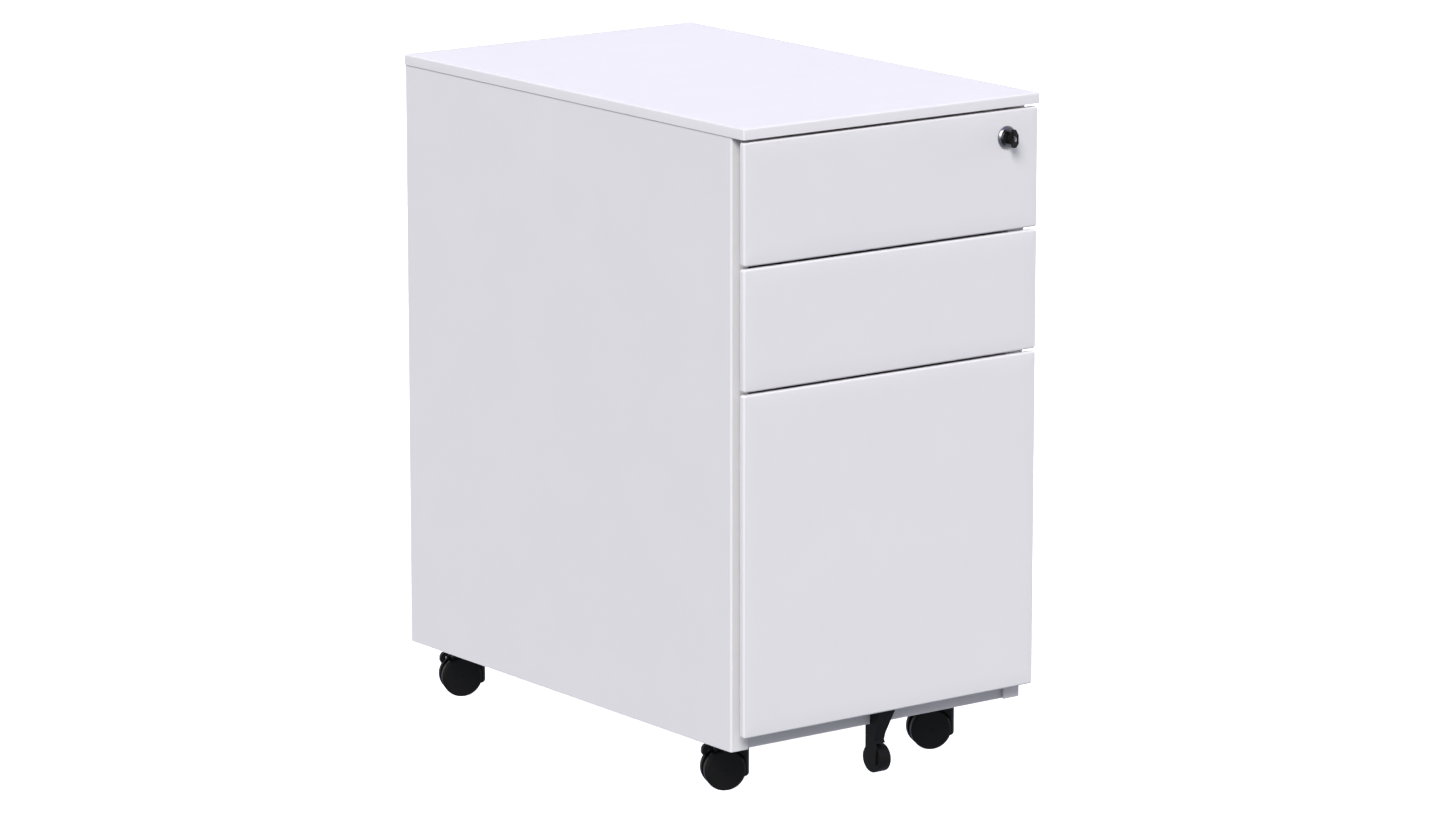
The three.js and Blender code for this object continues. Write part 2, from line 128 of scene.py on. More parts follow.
LOCK_HOLE_CLEARANCE = 0.2 * MM
LOCK_HOLE_REACH = (-5 * MM, 12 * MM)
ROOM_MARGIN = 5 * MM
ROOM_BEYOND = 9 * MM
SWEEP_MARGIN = 9.2 * MM
LEAST_CORNER = 0.2 * MM

# lock and key
# the barrel's outline is in mm: COLLAR and BARREL_END hold a radius and a depth, THREAD_START is a depth
COLLAR = [(6.1, -1.7), (7.85, -1.7), (9.2, -0.35), (9.3, -0.1), (9.3, 0.6), (8.0, 0.6)]
BARREL_END = [(8.0, 19), (6.2, 19)]
BARREL_R = 8 * MM
THREADS = 16
THREAD_START = 2
THREAD_CREST_R = 8.0
THREAD_ROOT_R = 7.6
PLUG_R = 5.9 * MM
PLUG_SHOULDER = 0.05 * MM
TAIL_LENGTH = 3.6 * MM
TAIL_HALF = 2.5 * MM
TAIL_OVERLAP = 0.2 * MM
BOW_HALF = 0.9 * MM
BOW_CLIP = 3.4 * MM
BOW_TIP_HALF = 3.6 * MM
BOW_HOLE_FROM_TIP = 3.2 * MM
BOW_HOLE_R = 2.5 * MM
BOW_STEPS = 64
PRONG = (2.4 * MM, 5 * MM)
PRONG_OVERLAP = 0.3 * MM
BOW_EDGE = 0.25 * MM

# castors, about the wheel axle
WHEEL_R = 17.3 * MM
WHEEL_INNER = 3.2 * MM
WHEEL_OUTER = 10 * MM
WHEEL_SHOULDER = [(-2.2, 0), (-0.4, -1.05), (0, -1.6)]  # in mm, from the tread's radius and the outer face
WHEEL_DRAFT = 0.5 * MM
DIMPLE_R = 0.8 * MM
DIMPLE_DEPTH = 0.9 * MM
RECESS_R = (5.5 * MM, 12.5 * MM)
RECESS_WALL = 3 * MM
WHEEL_BORE_R = 2.7 * MM
WHEEL_BORE_WALL = 1.2 * MM
TRAIL = 12.5 * MM
HUB_R = 9 * MM
HUB_BOTTOM = 10 * MM
HUB_TOP = 44.3 * MM
STEM_BORE_R = 4.2 * MM
STEM_BORE_BOTTOM = 34 * MM
HOOD_IN = 18.2 * MM
HOOD_OUT = 20.3 * MM
HOOD_HALF = 9.8 * MM
HOOD_FROM = 30  # this and the angles below are in degrees above straight ahead
HOOD_TO = 119
SPINE_TO = 117
FIN_R = 20.5 * MM
FIN_FROM = 113
FIN_TO = 127
WEB_R = 14 * MM
WEB_HALF = 2.7 * MM
HUB_FOOT_EDGE = 2.5 * MM
HUB_HEAD_EDGE = 0.8 * MM
WHEEL_ROOM_OUT = 14 * MM
HOUSING_EDGE = 0.35 * MM
PEDAL_EDGE = 0.8 * MM
STEM_EDGE = 0.3 * MM

# anti-tilt wheel
CAP_R = 2.8 * MM
CAP_FROM_AXLE = (0.15 * MM, 0.03 * MM)
ARM_EDGE = 0.3 * MM
ROLLER_EDGE = 0.5 * MM
ROLLER_BORE_R = 2.3 * MM
ROLLER_HUB_R = 4.5 * MM
ROLLER_RIM = 3.2 * MM
GROOVE_DEPTH = 0.6 * MM
GROOVE_DRAFT = 0.3 * MM

# pieces that keep the CAD shape, and the radius that rounds their edges
EASED = {
    "back_panel": 0.4 * MM,
    "bottom_panel": 0.35 * MM,
    "front_bottom_rail": 0.35 * MM,
    "front_top_rail": 0.35 * MM,
    "lock_bar": 0.3 * MM,
    "lock_cam": 0.3 * MM,
    "key_blade": 0.25 * MM,
    "file_rail_front": 0.3 * MM,
    "file_rail_rear": 0.3 * MM,
    "anti_tilt_axle": 0.2 * MM,
    **{f"castor_axle_{corner}": 0.2 * MM for corner in CORNERS},
    **{f"{drawer}_slide_{member}_{side}": 0.3 * MM
       for drawer in DRAWERS for member in ("outer", "inner") for side in SIDES},
}

SHARP_ANGLE = math.radians(28)
BEVEL_ANGLE = math.radians(40)


# ---- outlines ----
def arc(centre, radius, start, end, steps):
    """Points on an arc, with its angles in degrees."""
    angles = [math.radians(start + (end - start) * i / steps) for i in range(steps + 1)]
    return [(centre[0] + radius * math.cos(a), centre[1] + radius * math.sin(a)) for a in angles]


def rounded_rectangle(half_u, half_v, radius, steps=8):
    """A rectangle about the origin, with rounded corners."""
    points = []
    for sign_u, sign_v, start in ((1, 1, 0), (-1, 1, 90), (-1, -1, 180), (1, -1, 270)):
        centre = (sign_u * (half_u - radius), sign_v * (half_v - radius))
        points += arc(centre, radius, start, start + 90, steps)
    return points


def bent_sheet(path, thickness, bend, steps=6):
    """The outline of a bent sheet: its outer side follows path, which turns only right, then comes back."""
    path = [Vector(point) for point in path]
    outer, inner = [], []

    def note(point, inward):
        outer.append(point)
        inner.append(point + inward * thickness)

    def right_of(direction):
        return Vector((direction.y, -direction.x))

    note(path[0], right_of((path[1] - path[0]).normalized()))
    for before, corner, after in zip(path, path[1:], path[2:]):
        arriving = (corner - before).normalized()
        turn = arriving.angle((after - corner).normalized())
        inward = right_of(arriving)
        centre = corner - arriving * bend * math.tan(turn / 2) + inward * bend
        for step in range(steps + 1):
            spoke = inward.copy()
            spoke.rotate(Matrix.Rotation(-turn * step / steps, 2))
            note(centre - spoke * bend, spoke)
    note(path[-1], right_of((path[-1] - path[-2]).normalized()))
    return outer + inner[::-1]


def ray_angles(count):
    return [2 * math.pi * i / count for i in range(count)]


def ray_outline(corners, centre, count):
    """A convex outline's points in evenly spaced directions from a centre inside it."""
    points = []
    for angle in ray_angles(count):
        ray = Vector((math.cos(angle), math.sin(angle)))
        hits = []
        for a, b in zip(corners, corners[1:] + corners[:1]):
            edge = Vector(b) - Vector(a)
            across = ray.x * edge.y - ray.y * edge.x
            if abs(across) < 1e-12:
                continue
            start = Vector(a) - centre
            reach = (start.x * edge.y - start.y * edge.x) / across
            along = (start.x * ray.y - start.y * ray.x) / across
            if reach > 0 and -1e-6 <= along <= 1 + 1e-6:
                hits.append(reach)
        points.append(centre + ray * min(hits))
    return points


# ---- solids in a bmesh ----
def join_rings(mesh, rings, loop=False):
    """Joins rings of equally many points, and closes the end rings by a face, or joins them in a loop."""
    rings = [[mesh.verts.new(point) for point in ring] for ring in rings]
    pairs = list(zip(rings, rings[1:]))
    if loop:
        pairs.append((rings[-1], rings[0]))
    for a, b in pairs:
        for i in range(len(a)):
            j = (i + 1) % len(a)
            mesh.faces.new((a[i], a[j], b[j], b[i]))
    if not loop:
        mesh.faces.new(rings[0])
        mesh.faces.new(rings[-1][::-1])


def add_turned(mesh, profile, place, loop=False, steps=72):
    """Turns a profile of (radius, position) about the local Y axis."""
    angles = [2 * math.pi * i / steps for i in range(steps)]
    rings = [[place @ Vector((r * math.cos(a), t, r * math.sin(a))) for a in angles] for r, t in profile]
    join_rings(mesh, rings, loop)


def add_prism(mesh, outline, low, high, place=Matrix()):
    """Extrudes an outline in the local XY plane along Z."""
    join_rings(mesh, [[place @ Vector((u, v, w)) for u, v in outline] for w in (low, high)])


def add_block(mesh, low, high, place=Matrix()):
    """A plain block between two corners, for edges that a bevel then rounds."""
    outline = [(low[0], low[1]), (high[0], low[1]), (high[0], high[1]), (low[0], high[1])]
    add_prism(mesh, outline, low[2], high[2], place)


def add_tray(mesh, halves, corner, profile, place, loop=False):
    """Sweeps a profile of (inset, depth) round a rounded rectangle with these half sizes."""
    rings = []
    for inset, depth in profile:
        radius = max(corner - inset, LEAST_CORNER)
        outline = rounded_rectangle(halves[0] - inset, halves[1] - inset, radius)
        rings.append([place @ Vector((u, v, depth)) for u, v in outline])
    join_rings(mesh, rings, loop)


# local frames that turn a solid made along one axis to lie along another
Y_TO_X = Matrix.Rotation(math.radians(-90), 4, "Z")
Y_TO_Z = Matrix.Rotation(math.radians(90), 4, "X")
UPRIGHT = Matrix(((1, 0, 0, 0), (0, 0, 1, 0), (0, 1, 0, 0), (0, 0, 0, 1)))  # outline in XZ, extruded along Y
SIDEWAYS = Matrix(((0, 0, 1, 0), (1, 0, 0, 0), (0, 1, 0, 0), (0, 0, 0, 1)))  # outline in YZ, extruded along X


# ---- pieces ----
def bevelled(piece, width, segments=3):
    """Rounds a piece's sharp edges, and keeps its flat faces flat in shading."""
    bevel = piece.modifiers.new("edge radius", "BEVEL")
    bevel.limit_method = "ANGLE"
    bevel.angle_limit = BEVEL_ANGLE
    bevel.width = width
    bevel.segments = segments
    normals = piece.modifiers.new("flat faces", "WEIGHTED_NORMAL")
    normals.keep_sharp = True


def new_object(mesh, name):
    """Makes a bmesh into an object, smooth except at its sharp edges."""
    bmesh.ops.recalc_face_normals(mesh, faces=mesh.faces)
    data = bpy.data.meshes.new(name)
    mesh.to_mesh(data)
    mesh.free()
    data.shade_smooth()
    data.set_sharp_from_angle(angle=SHARP_ANGLE)
    made = bpy.data.objects.new(name, data)
    bpy.context.scene.collection.objects.link(made)
    return made


def carved(mesh, tool_mesh):
    """What is left of one closed solid when another is cut out of it, as a new bmesh."""
    solid = new_object(mesh, "solid")
    tool = new_object(tool_mesh, "tool")
    cut = solid.modifiers.new("cut", "BOOLEAN")
    cut.operation = "DIFFERENCE"
    cut.solver = "EXACT"
    cut.object = tool
    rest = bmesh.new()
    rest.from_object(solid, bpy.context.evaluated_depsgraph_get())
    for used in (solid, tool):
        bpy.data.objects.remove(used)
    return rest


def gather(mesh, part):
    """Adds a finished part to a bmesh."""
    data = bpy.data.meshes.new("part")
    part.to_mesh(data)
    part.free()
    mesh.from_mesh(data)
    bpy.data.meshes.remove(data)


def finished(mesh, name, node, edge=0.0):
    """Makes a bmesh the piece that stands for a CAD node, on that node's body and in its slot's finish."""
    piece = new_object(mesh, name)
    piece.data.materials.append(MATERIALS[SLOTS[node]])
    if edge:
        bevelled(piece, edge)
    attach(piece, frame["nodes"][node]["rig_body"])
    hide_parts(node)
    return piece


def cad_mesh(node):
    """A CAD node's own shape, with its flat faces whole."""
    mesh = bmesh.new()
    mesh.from_mesh(frame["nodes"][node].data)
    bmesh.ops.remove_doubles(mesh, verts=mesh.verts, dist=0.002 * MM)
    bmesh.ops.dissolve_limit(mesh, angle_limit=math.radians(0.5), verts=mesh.verts, edges=mesh.edges)
    return mesh


def eased(node, edge):
    """A piece in a CAD node's own shape, with its edges rounded."""
    return finished(cad_mesh(node), f"{node}_eased", node, edge)


def joint(name):
    """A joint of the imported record."""
    return next(each for each in frame["joints"] if each["name"] == name)


LOCK = Vector(joint("key_turn")["pos_m"])


# ---- materials ----
class Finish:
    """A node material under construction: a shader, and texture coordinates in metres on the piece."""

    def __init__(self, name, color, roughness, metallic=0.0):
        self.material = bpy.data.materials.new(name)
        self.material.use_nodes = True
        self.material.diffuse_color = (*color, 1)
        self.nodes = self.material.node_tree.nodes
        self.links = self.material.node_tree.links
        self.shader = self.nodes["Principled BSDF"]
        self.shader.inputs["Base Color"].default_value = (*color, 1)
        self.shader.inputs["Roughness"].default_value = roughness
        self.shader.inputs["Metallic"].default_value = metallic
        self.place = self.nodes.new("ShaderNodeTexCoord").outputs["Object"]

    def noise(self, size, detail=2.0, stretch=(1, 1, 1)):
        """Noise with features of about this size; stretch above 1 packs them closer along that axis."""
        mapping = self.nodes.new("ShaderNodeMapping")
        mapping.inputs["Scale"].default_value = stretch
        self.links.new(self.place, mapping.inputs["Vector"])
        noise = self.nodes.new("ShaderNodeTexNoise")
        noise.inputs["Scale"].default_value = 1 / size
        noise.inputs["Detail"].default_value = detail
        self.links.new(mapping.outputs["Vector"], noise.inputs["Vector"])
        return noise.outputs["Fac"]

    def cells(self, size):
        """A random value for each cell of about this size."""
        voronoi = self.nodes.new("ShaderNodeTexVoronoi")
        voronoi.inputs["Scale"].default_value = 1 / size
        self.links.new(self.place, voronoi.inputs["Vector"])
        return voronoi.outputs["Color"]

    def ranged(self, source, low, high):
        """Maps a texture's middle values onto low to high."""
        spread = self.nodes.new("ShaderNodeMapRange")
        spread.inputs["From Min"].default_value = 0.3
        spread.inputs["From Max"].default_value = 0.7
        spread.inputs["To Min"].default_value = low
        spread.inputs["To Max"].default_value = high
        self.links.new(source, spread.inputs["Value"])
        return spread.outputs["Result"]

    def tint(self, source, first, second):
        """Runs the base colour from first to second with a texture."""
        ramp = self.nodes.new("ShaderNodeValToRGB")
        ramp.color_ramp.elements[0].position = 0.3
        ramp.color_ramp.elements[0].color = (*first, 1)
        ramp.color_ramp.elements[1].position = 0.7
        ramp.color_ramp.elements[1].color = (*second, 1)
        self.links.new(source, ramp.inputs["Fac"])
        self.links.new(ramp.outputs["Color"], self.shader.inputs["Base Color"])

    def rough(self, source, low, high):
        self.links.new(self.ranged(source, low, high), self.shader.inputs["Roughness"])

    def bump(self, source, height, strength=1.0):
        """Adds relief of this height, on top of any bump already there."""
        bump = self.nodes.new("ShaderNodeBump")
        bump.inputs["Distance"].default_value = height
        bump.inputs["Strength"].default_value = strength
        normal = self.shader.inputs["Normal"]
        if normal.links:
            self.links.new(normal.links[0].from_socket, bump.inputs["Normal"])
        self.links.new(source, bump.inputs["Height"])
        self.links.new(bump.outputs["Normal"], normal)


def powder_coat():
    """Fine satin powder coat: barely uneven in tone, with the slight orange peel of baked powder."""
    coat = Finish("white_powder_coat", (0.80, 0.787, 0.78), 0.38)
    coat.tint(coat.noise(60 * MM, 3), (0.795, 0.782, 0.775), (0.807, 0.794, 0.787))
    coat.rough(coat.noise(9 * MM), 0.34, 0.42)
    coat.bump(coat.noise(1.6 * MM), 0.012 * MM, 0.5)
    coat.bump(coat.noise(0.35 * MM, 1), 0.004 * MM, 0.4)
    coat.shader.inputs["Specular IOR Level"].default_value = 0.06
    return coat.material


def zinc_plate():
    """Bright zinc plate on drawn steel: soft spangle under fine lines along the drawing direction."""
    zinc = Finish("zinc_steel", (0.60, 0.62, 0.64), 0.34, 1.0)
    zinc.tint(zinc.cells(4 * MM), (0.55, 0.57, 0.60), (0.66, 0.68, 0.69))
    zinc.rough(zinc.noise(3 * MM, 3), 0.28, 0.42)
    zinc.bump(zinc.noise(0.5 * MM, 2, (1, 0.03, 1)), 0.006 * MM, 0.5)
    return zinc.material


def black_nylon():
    """Moulded black nylon with a fine spark-eroded grain, a little glossier where it is smooth."""
    nylon = Finish("black_plastic", (0.006, 0.0055, 0.0050), 0.32)
    nylon.tint(nylon.noise(12 * MM, 3), (0.0052, 0.0048, 0.0044), (0.0072, 0.0067, 0.0061))
    nylon.rough(nylon.noise(5 * MM, 3), 0.28, 0.36)
    nylon.bump(nylon.noise(0.4 * MM, 3), 0.008 * MM, 0.5)
    nylon.shader.inputs["Specular IOR Level"].default_value = 0.26
    return nylon.material


def black_nickel():
    """Dark plated zinc casting, polished, with the faint waviness of a casting."""
    nickel = Finish("dark_chrome", (0.34, 0.34, 0.35), 0.25, 1.0)
    nickel.tint(nickel.noise(3 * MM, 2), (0.31, 0.31, 0.32), (0.37, 0.37, 0.38))
    nickel.rough(nickel.noise(1.5 * MM, 3), 0.2, 0.29)
    nickel.bump(nickel.noise(1.2 * MM), 0.006 * MM, 0.3)
    return nickel.material


def turned_steel():
    """Turned and plated steel with fine tool marks round the axis."""
    steel = Finish("bright_steel", (0.55, 0.56, 0.57), 0.28, 1.0)
    steel.tint(steel.noise(4 * MM, 3), (0.50, 0.51, 0.52), (0.60, 0.61, 0.62))
    steel.rough(steel.noise(2 * MM, 3), 0.22, 0.34)
    steel.bump(steel.noise(0.3 * MM, 2, (0.1, 0.1, 1)), 0.008 * MM, 0.6)
    return steel.material


def studio_paper():
    """The pale seamless floor, so evenly lit that it stays white."""
    paper = Finish("studio_paper", (0.85, 0.85, 0.85), 0.9)
    paper.bump(paper.noise(2 * MM), 0.02 * MM, 0.2)
    paper.shader.inputs["Emission Color"].default_value = (1, 1, 1, 1)
    paper.shader.inputs["Emission Strength"].default_value = 1.0
    return paper.material


MATERIALS = {
    "white_powder_coat": powder_coat(),
    "zinc_steel": zinc_plate(),
    "black_plastic": black_nylon(),
    "dark_chrome": black_nickel(),
    "bright_steel": turned_steel(),
}
SLOTS = {part["node"]: part["material_slot"] for part in frame["record"]["subparts"]}


def paint_frame():
    """Gives every CAD node the finish of its slot, shown or not."""
    for node, cad in frame["nodes"].items():
        cad.data.materials.clear()
        cad.data.materials.append(MATERIALS[SLOTS[node]])


# ---- folded sheet metal ----
def top_panel():
    """A shallow tray, face up, whose four walls end in a plain edge."""
    low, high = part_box("top_panel")
    centre = (low + high) / 2
    place = Matrix(((1, 0, 0, centre.x), (0, 1, 0, centre.y), (0, 0, -1, high.z), (0, 0, 0, 1)))
    profile = bent_sheet([(FACE_INSET, 0), (0, 0), (0, high.z - low.z)], SHEET, SLAB_BEND)
    mesh = bmesh.new()
    add_tray(mesh, high.xy - centre.xy, SLAB_BEND, profile, place)
    finished(mesh, "top_panel_folded", "top_panel")


def side_panel(side):
    """Front flange and side wall bent from one sheet, with returns along the top, the bottom and the back."""
    node = f"{side}_side_panel"
    low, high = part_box(node)
    out = max(-low.x, high.x)
    place = Matrix.Diagonal((-SIDES[side], 1, 1, 1))
    mesh = bmesh.new()
    path = [(FLANGE_WIDTH - out, low.y), (-out, low.y), (-out, high.y)]
    add_prism(mesh, bent_sheet(path, SHEET, BEND), low.z, high.z, place)
    wall = SHEET / 2 - out
    back = high.y - BACK_PANEL_DEPTH - BACK_GAP
    add_block(mesh, (wall, back - SHEET, low.z + SHEET), (BACK_RETURN - out, back, high.z - SHEET), place)
    add_block(mesh, (wall, low.y + SHEET / 2, high.z - SHEET), (TOP_RETURN - out, back, high.z), place)
    add_block(mesh, (wall, low.y + SHEET / 2, low.z), (BOTTOM_RETURN - out, back, low.z + SHEET), place)
    if side == "right":
        bar_low, bar_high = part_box("lock_bar")
        for height in BAR_GUIDES:
            near = bar_high.y + GUIDE_CLEARANCE
            guide_low = (-out + SHEET / 2, near, height - GUIDE_HALF)
            guide_end = GUIDE_OVERHANG - bar_high.x + BAR_WIDTH
            guide_high = (guide_end, near + GUIDE_THICKNESS, height + GUIDE_HALF)
            add_block(mesh, guide_low, guide_high, place)
    finished(mesh, f"{node}_folded", node, SIDE_EDGE)


def drawer_front(drawer):
    """A folded pan, face forward, with its lips turned in behind and two stiffeners that carry the box."""
    node = f"{drawer}_drawer_front"
    low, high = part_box(node)
    centre = (low + high) / 2
    depth = high.y - low.y
    place = Matrix(((1, 0, 0, centre.x), (0, 0, 1, low.y), (0, 1, 0, centre.z), (0, 0, 0, 1)))
    profile = bent_sheet([(FACE_INSET, 0), (0, 0), (0, depth), (FRONT_LIP, depth)], SHEET, BEND)
    mesh = bmesh.new()
    add_tray(mesh, (high.x - centre.x, high.z - centre.z), FRONT_CORNER, profile, place)
    if drawer == "top":
        hole = bmesh.new()
        radius = BARREL_R + LOCK_HOLE_CLEARANCE
        add_turned(hole, [(radius, reach) for reach in LOCK_HOLE_REACH], Matrix.Translation(LOCK))
        mesh = carved(mesh, hole)
    for sign in SIDES.values():
        ends = sorted((sign * RIB_OUT, sign * (RIB_OUT - RIB_WIDTH)))
        rib_low = (ends[0], low.y + SHEET / 2, low.z + SHEET / 2)
        rib_high = (ends[1], high.y, high.z - SHEET / 2)
        add_block(mesh, rib_low, rib_high)
    finished(mesh, f"{node}_folded", node)


def drawer_box(drawer):
    """An open box of thinner sheet with a rolled rim, and the stud that the lock bar's hook stands behind."""
    node = f"{drawer}_drawer_box"
    low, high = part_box(node)
    half = -low.x
    halves = (half, (high.y - low.y) / 2)
    place = Matrix.Translation((0, (low.y + high.y) / 2, low.z))
    height = high.z - low.z
    wall = bent_sheet([(FACE_INSET, 0), (0, 0), (0, height - RIM_DEPTH / 2)], BOX_SHEET, BOX_BEND)
    rolled = rounded_rectangle(RIM_DEPTH / 2, RIM_HEIGHT / 2, RIM_DEPTH / 2)
    rim = [(u, d - RIM_HEIGHT / 2 + height) for u, d in rolled]
    mesh = bmesh.new()
    for profile, loop in ((wall, False), (rim, True)):
        part = bmesh.new()
        add_tray(part, halves, BOX_CORNER, profile, place, loop)
        if drawer == "top":
            part = carved(part, lock_room(low, high, half))
        gather(mesh, part)
    slide_low, slide_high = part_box(f"{drawer}_slide_inner_right")
    stud = (slide_low.z + slide_high.z) / 2 + STUD_ABOVE_SLIDE
    stud_y = slide_low.y - STUD_AHEAD
    add_block(mesh, (half - BOX_SHEET / 2, stud_y, stud), (high.x, stud_y + STUD_LENGTH, stud + STUD_HEIGHT))
    finished(mesh, f"{node}_folded", node)


def lock_room(low, high, half):
    """The corner of the top drawer's box that is left out for the lock and the sweep of its cam."""
    cam_low, cam_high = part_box("lock_cam")
    corner = bmesh.new()
    corner_low = (cam_low.x - ROOM_MARGIN, low.y - ROOM_MARGIN, cam_low.z - 0.5 * MM)
    corner_high = (half + ROOM_BEYOND, cam_high.y + SWEEP_MARGIN, high.z + ROOM_BEYOND)
    add_block(corner, corner_low, corner_high)
    return corner


# ---- lock and key ----
def lock_barrel():
    """Collar with a polished bevel round a flat face, and the threaded body behind it."""
    thread = []
    for turn in range(THREADS):
        thread += [(THREAD_CREST_R, THREAD_START + turn), (THREAD_ROOT_R, THREAD_START + 0.5 + turn)]
    profile = [(r * MM, t * MM) for r, t in COLLAR + thread + BARREL_END]
    mesh = bmesh.new()
    add_turned(mesh, profile, Matrix.Translation(LOCK), loop=True, steps=96)
    finished(mesh, "lock_barrel_turned", "lock_barrel")


def lock_plug():
    """The plug in the barrel, with its square tail."""
    low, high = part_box("lock_plug")
    mesh = bmesh.new()
    front = low.y - LOCK.y
    back = high.y - LOCK.y
    tail_start = back - TAIL_LENGTH
    profile = [(PLUG_R - PLUG_SHOULDER, front), (PLUG_R, front + PLUG_SHOULDER), (PLUG_R, tail_start)]
    place = Matrix.Translation(LOCK)
    add_turned(mesh, profile, place)
    tail_low = (-TAIL_HALF, tail_start - TAIL_OVERLAP, -TAIL_HALF)
    add_block(mesh, tail_low, (TAIL_HALF, back, TAIL_HALF), place)
    finished(mesh, "lock_plug_turned", "lock_plug")


def key_bow():
    """The folding grip: a thin moulded plate with clipped corners and a ring hole, forked at its hinge."""
    low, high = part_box("key_bow")
    fold = Vector(joint("key_fold")["pos_m"])
    place = Matrix.Translation(fold) @ SIDEWAYS
    knuckle_r = (high.x - low.x) / 2
    tip = low.y - fold.y
    tall = (high.z - low.z) / 2
    waist = -knuckle_r
    clip = tip + BOW_CLIP
    lower = [(tip, -BOW_TIP_HALF), (clip, -tall), (waist, -tall)]
    corners = lower + [(u, -v) for u, v in reversed(lower)]
    centre = Vector((tip + BOW_HOLE_FROM_TIP, 0))
    outer = ray_outline(corners, centre, BOW_STEPS)
    hole = [(centre.x + BOW_HOLE_R * math.cos(a), BOW_HOLE_R * math.sin(a)) for a in ray_angles(BOW_STEPS)]
    layers = [(outer, -BOW_HALF), (outer, BOW_HALF), (hole, BOW_HALF), (hole, -BOW_HALF)]
    mesh = bmesh.new()
    join_rings(mesh, [[place @ Vector((u, v, w)) for u, v in outline] for outline, w in layers], loop=True)
    for sign in (-1, 1):
        prong = sorted(sign * height for height in PRONG)
        add_block(mesh, (waist - PRONG_OVERLAP, prong[0], -BOW_HALF), (0, prong[1], BOW_HALF), place)
        knuckle = [(knuckle_r, prong[0]), (knuckle_r, prong[1])]
        add_turned(mesh, knuckle, Matrix.Translation(fold) @ Y_TO_Z, steps=32)
    finished(mesh, "key_bow_moulded", "key_bow", BOW_EDGE)


# ---- castors ----
def castor_frame(corner):
    """The frame on a castor's wheel axle: X forward over the swivel, Y along the axle, Z up."""
    spin = joint(f"wheel_spin_{corner}_inner")
    axle = Vector(spin["axis"])
    turn = Matrix(((axle.y, axle.x, 0, 0), (-axle.x, axle.y, 0, 0), (0, 0, 1, 0), (0, 0, 0, 1)))
    return Matrix.Translation(spin["pos_m"]) @ turn


def castor_wheel(corner, which):
    """A wheel with a bevelled flat face, a dimple at its middle and a recess on its hidden side."""
    node = f"castor_wheel_{corner}_{which}"
    face = WHEEL_OUTER
    recess = face - RECESS_WALL
    hub_r, well_r = RECESS_R
    profile = [(DIMPLE_R, face - DIMPLE_DEPTH), (DIMPLE_R, face)]
    profile += [(WHEEL_R + r * MM, face + t * MM) for r, t in WHEEL_SHOULDER]
    profile += [(WHEEL_R, WHEEL_INNER + WHEEL_DRAFT), (WHEEL_R - WHEEL_DRAFT, WHEEL_INNER)]
    profile += [(well_r + WHEEL_DRAFT, WHEEL_INNER), (well_r, recess)]
    profile += [(hub_r, recess), (hub_r - 0.3 * MM, WHEEL_INNER)]
    profile += [(WHEEL_BORE_R, WHEEL_INNER), (WHEEL_BORE_R, face - WHEEL_BORE_WALL)]
    mesh = bmesh.new()
    flip = Matrix.Diagonal((1, 1 if which == "inner" else -1, 1, 1))
    add_turned(mesh, profile, castor_frame(corner) @ flip, steps=96)
    finished(mesh, f"{node}_moulded", node)


def castor_housing(corner):
    """Swivel hub, the web between the wheels and the hood over their treads, cut clear of both wheels."""
    node = f"castor_housing_{corner}"
    place = castor_frame(corner)
    swivel = place @ Matrix.Translation((TRAIL, 0, -WHEEL_R))
    mesh = bmesh.new()
    bottom = arc((HUB_R - HUB_FOOT_EDGE, HUB_BOTTOM + HUB_FOOT_EDGE), HUB_FOOT_EDGE, -90, 0, 6)
    top = arc((HUB_R - HUB_HEAD_EDGE, HUB_TOP - HUB_HEAD_EDGE), HUB_HEAD_EDGE, 0, 90, 4)
    bore = [(STEM_BORE_R, HUB_TOP), (STEM_BORE_R, STEM_BORE_BOTTOM)]
    add_turned(mesh, bottom + top + bore, swivel @ Y_TO_Z)
    for sign in (-1, 1):
        room = bmesh.new()
        add_turned(room, [(HOOD_IN, sign * WEB_HALF), (HOOD_IN, sign * WHEEL_ROOM_OUT)], place, steps=96)
        mesh = carved(mesh, room)
    web = [(WEB_R, -WEB_HALF), (WEB_R, WEB_HALF)]
    add_turned(mesh, web, place)
    upright = place @ UPRIGHT
    hood = arc((0, 0), HOOD_OUT, HOOD_FROM, HOOD_TO, 24) + arc((0, 0), HOOD_IN, HOOD_TO, HOOD_FROM, 24)
    spine = [(0, 0), *arc((0, 0), (HOOD_IN + HOOD_OUT) / 2, HOOD_FROM, SPINE_TO, 16)]
    fin = [(0, 0), *arc((0, 0), FIN_R, FIN_FROM, FIN_TO, 8)]
    for outline, half in ((hood, HOOD_HALF), (spine, WEB_HALF), (fin, WEB_HALF)):
        plate = bmesh.new()
        add_prism(plate, outline, -half, half, upright)
        stem_room = bmesh.new()
        add_turned(stem_room, [(STEM_BORE_R, STEM_BORE_BOTTOM), (STEM_BORE_R, HUB_TOP)], swivel @ Y_TO_Z)
        gather(mesh, carved(plate, stem_room))
    finished(mesh, f"{node}_moulded", node, HOUSING_EDGE)


# ---- anti-tilt wheel and its arm ----
def anti_tilt_arm():
    """The moulded arm, with a snap cap over the end of its axle."""
    mesh = cad_mesh("anti_tilt_arm")
    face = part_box("anti_tilt_axle")[0].x
    hub = Vector(joint("anti_tilt_wheel_spin")["pos_m"])
    cap = [(CAP_R, face - hub.x - ahead) for ahead in CAP_FROM_AXLE]
    add_turned(mesh, cap, Matrix.Translation(hub) @ Y_TO_X)
    finished(mesh, "anti_tilt_arm_moulded", "anti_tilt_arm", ARM_EDGE)


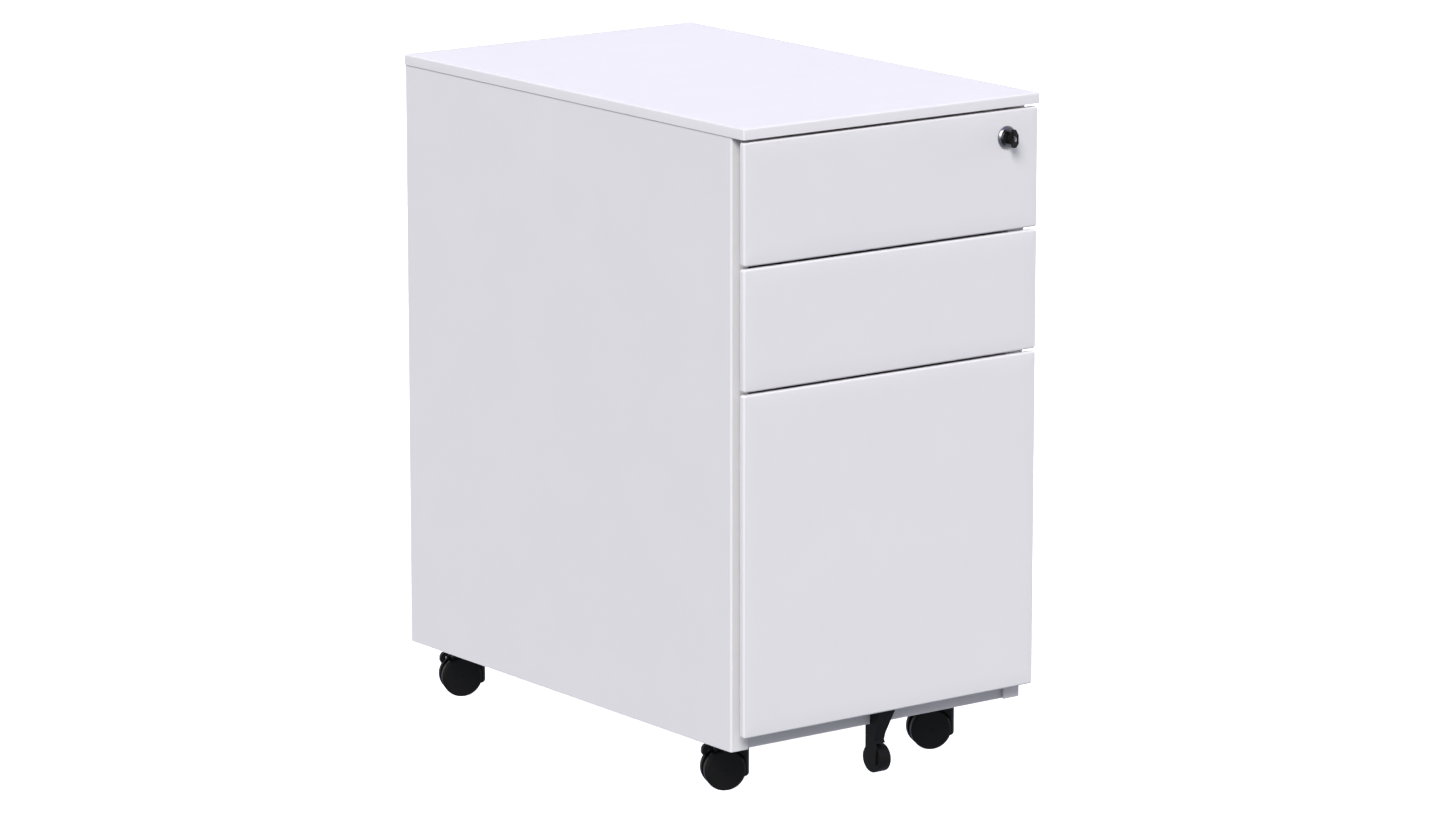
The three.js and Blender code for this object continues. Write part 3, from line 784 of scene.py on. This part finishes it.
def anti_tilt_wheel():
    """A small solid roller with a flat tread and a groove in its far face."""
    low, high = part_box("anti_tilt_wheel")
    hub = Vector(joint("anti_tilt_wheel_spin")["pos_m"])
    near, far = low.x - hub.x, high.x - hub.x
    radius = (high.z - low.z) / 2
    rim = arc((radius - ROLLER_EDGE, far - ROLLER_EDGE), ROLLER_EDGE, 90, 0, 6)
    rim += arc((radius - ROLLER_EDGE, near + ROLLER_EDGE), ROLLER_EDGE, 0, -90, 6)
    groove = far - GROOVE_DEPTH
    rim_r = radius - ROLLER_RIM
    profile = [(ROLLER_BORE_R, far), (ROLLER_HUB_R, far), (ROLLER_HUB_R + GROOVE_DRAFT, groove)]
    profile += [(rim_r - GROOVE_DRAFT, groove), (rim_r, far), *rim, (ROLLER_BORE_R, near)]
    mesh = bmesh.new()
    add_turned(mesh, profile, Matrix.Translation(hub) @ Y_TO_X, loop=True)
    finished(mesh, "anti_tilt_wheel_moulded", "anti_tilt_wheel")


# ---- stage ----
def floor():
    mesh = bmesh.new()
    bmesh.ops.create_grid(mesh, x_segments=1, y_segments=1, size=FLOOR_HALF)
    data = bpy.data.meshes.new("floor")
    mesh.to_mesh(data)
    mesh.free()
    data.materials.append(studio_paper())
    plane = bpy.data.objects.new("floor", data)
    plane.visible_diffuse = False
    plane.visible_glossy = False
    bpy.context.scene.collection.objects.link(plane)


def soft_sun(name, heading, rise, strength, width):
    """Even light from one direction, as wide as a large soft lamp looks from the object."""
    data = bpy.data.lights.new(name, "SUN")
    data.energy = strength
    data.angle = math.radians(width)
    data.color = LAMP_TONE
    lamp = bpy.data.objects.new(name, data)
    lamp.rotation_euler = (math.radians(90 - rise), 0, math.radians(heading))
    bpy.context.scene.collection.objects.link(lamp)
    return lamp


def lock_glint():
    """The reflection of a wide lamp, kept to the lock and key."""
    polished = bpy.data.collections.new("lock_and_key")
    for piece in bpy.context.scene.objects:
        if piece.name.startswith(("lock_", "key_")) and piece.type == "MESH":
            polished.objects.link(piece)
    lamp = soft_sun("glint", *GLINT)
    lamp.visible_diffuse = False
    lamp.light_linking.receiver_collection = polished


def studio_dome():
    """Even light from all round, dimmer and cooler from below."""
    world = bpy.data.worlds.new("studio")
    world.use_nodes = True
    nodes, links = world.node_tree.nodes, world.node_tree.links
    direction = nodes.new("ShaderNodeTexCoord").outputs["Generated"]
    split = nodes.new("ShaderNodeSeparateXYZ")
    links.new(direction, split.inputs["Vector"])
    height = nodes.new("ShaderNodeMapRange")
    height.inputs["From Min"].default_value = -1
    links.new(split.outputs["Z"], height.inputs["Value"])
    ramp = nodes.new("ShaderNodeValToRGB")
    stops = ramp.color_ramp.elements
    stops.new(DOME_STOPS[1])
    for stop, position, tone in zip(stops, DOME_STOPS, (DOME_BELOW, DOME_LEVEL, DOME_ABOVE)):
        stop.position = position
        stop.color = (*tone, 1)
    links.new(height.outputs["Result"], ramp.inputs["Fac"])
    links.new(ramp.outputs["Color"], nodes["Background"].inputs["Color"])
    bpy.context.scene.world = world


def camera():
    data = bpy.data.cameras.new("camera")
    data.lens = CAMERA_LENS
    data.sensor_width = 36
    data.clip_end = 200
    view = bpy.data.objects.new("camera", data)
    view.location = CAMERA_AT
    view.rotation_euler = (math.radians(90 - CAMERA_DIP), 0, math.radians(-CAMERA_HEADING))
    bpy.context.scene.collection.objects.link(view)
    bpy.context.scene.camera = view
    bpy.context.scene.view_settings.view_transform = "Standard"


paint_frame()
camera()
studio_dome()
for name, lamp in LAMPS.items():
    soft_sun(name, *lamp).visible_glossy = False
floor()

top_panel()
for side in SIDES:
    side_panel(side)
for drawer in DRAWERS:
    drawer_front(drawer)
    drawer_box(drawer)
lock_barrel()
lock_plug()
key_bow()
anti_tilt_arm()
anti_tilt_wheel()
for corner in CORNERS:
    castor_housing(corner)
    for which in ("inner", "outer"):
        castor_wheel(corner, which)
    eased(f"brake_pedal_{corner}", PEDAL_EDGE)
    eased(f"castor_stem_{corner}", STEM_EDGE)
for node, edge in EASED.items():
    eased(node, edge)
lock_glint()
